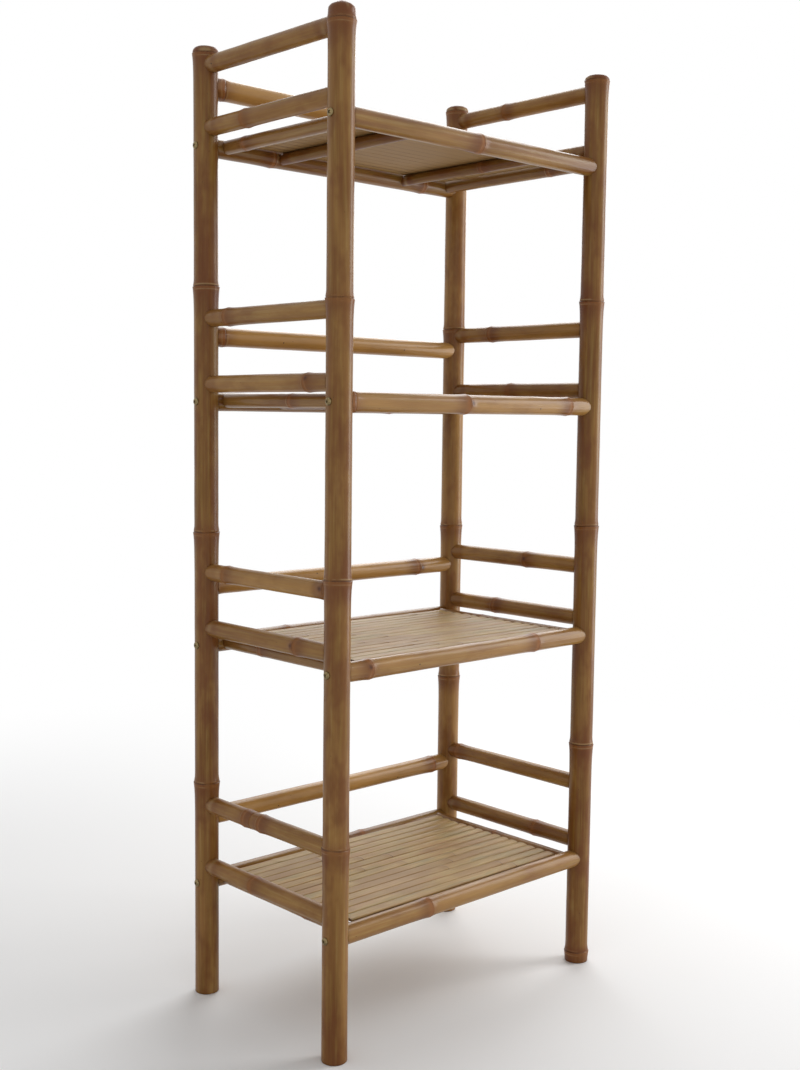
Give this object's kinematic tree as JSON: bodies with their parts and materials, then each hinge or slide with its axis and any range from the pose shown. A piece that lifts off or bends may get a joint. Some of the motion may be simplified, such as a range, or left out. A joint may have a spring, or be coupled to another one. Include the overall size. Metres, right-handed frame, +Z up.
{
  "type": "bamboo shelving unit",
  "caption": "Tall open shelving unit of round bamboo poles: ladder sides of coped rungs, back rails, and slatted split-bamboo shelves framed in poles and screwed to the posts.",
  "frame": {"origin": "on the floor, midway between the four posts", "axes": "+X along the width to the right seen from the open front, +Y from the front to the back with the back rails, +Z up"},
  "size_m": [0.5558, 0.3386, 1.4],
  "materials": {
    "bamboo_post": "satin clear lacquer over honey brown bamboo skin, redder and darker at the nodes",
    "bamboo_rung": "satin clear lacquer over honey brown bamboo skin",
    "bamboo_rail": "satin clear lacquer over olive tan bamboo skin",
    "bamboo_bearer": "satin clear lacquer over brown bamboo",
    "bamboo_slat": "thin satin lacquer over pale tan split bamboo",
    "screw_steel": "dulled zinc-plated steel"
  },
  "bodies": {
    "root": {"post_front_left": "bamboo_post", "post_rear_left": "bamboo_post", "post_front_right": "bamboo_post", "post_rear_right": "bamboo_post", "rung_left_1_lower": "bamboo_rung", "rung_left_1_upper": "bamboo_rung", "rung_left_2_lower": "bamboo_rung", "rung_left_2_upper": "bamboo_rung", "rung_left_3_lower": "bamboo_rung", "rung_left_3_upper": "bamboo_rung", "rung_left_4_lower": "bamboo_rung", "rung_left_4_upper": "bamboo_rung", "rung_right_1_lower": "bamboo_rung", "rung_right_1_upper": "bamboo_rung", "rung_right_2_lower": "bamboo_rung", "rung_right_2_upper": "bamboo_rung", "rung_right_3_lower": "bamboo_rung", "rung_right_3_upper": "bamboo_rung", "rung_right_4_lower": "bamboo_rung", "rung_right_4_upper": "bamboo_rung", "back_rail_1": "bamboo_rail", "back_rail_2": "bamboo_rail", "back_rail_3": "bamboo_rail", "back_rail_4": "bamboo_rail", "shelf_1_front_rail": "bamboo_rail", "shelf_1_rear_rail": "bamboo_rail", "shelf_1_left_end_rail": "bamboo_rail", "shelf_1_right_end_rail": "bamboo_rail", "shelf_1_left_bearer": "bamboo_bearer", "shelf_1_right_bearer": "bamboo_bearer", "shelf_1_slats": "bamboo_slat", "shelf_1_screws": "screw_steel", "shelf_2_front_rail": "bamboo_rail", "shelf_2_rear_rail": "bamboo_rail", "shelf_2_left_end_rail": "bamboo_rail", "shelf_2_right_end_rail": "bamboo_rail", "shelf_2_left_bearer": "bamboo_bearer", "shelf_2_right_bearer": "bamboo_bearer", "shelf_2_slats": "bamboo_slat", "shelf_2_screws": "screw_steel", "shelf_3_front_rail": "bamboo_rail", "shelf_3_rear_rail": "bamboo_rail", "shelf_3_left_end_rail": "bamboo_rail", "shelf_3_right_end_rail": "bamboo_rail", "shelf_3_left_bearer": "bamboo_bearer", "shelf_3_right_bearer": "bamboo_bearer", "shelf_3_slats": "bamboo_slat", "shelf_3_screws": "screw_steel", "shelf_4_front_rail": "bamboo_rail", "shelf_4_rear_rail": "bamboo_rail", "shelf_4_left_end_rail": "bamboo_rail", "shelf_4_right_end_rail": "bamboo_rail", "shelf_4_left_bearer": "bamboo_bearer", "shelf_4_right_bearer": "bamboo_bearer", "shelf_4_slats": "bamboo_slat", "shelf_4_screws": "screw_steel"}
  },
  "joints": []
}
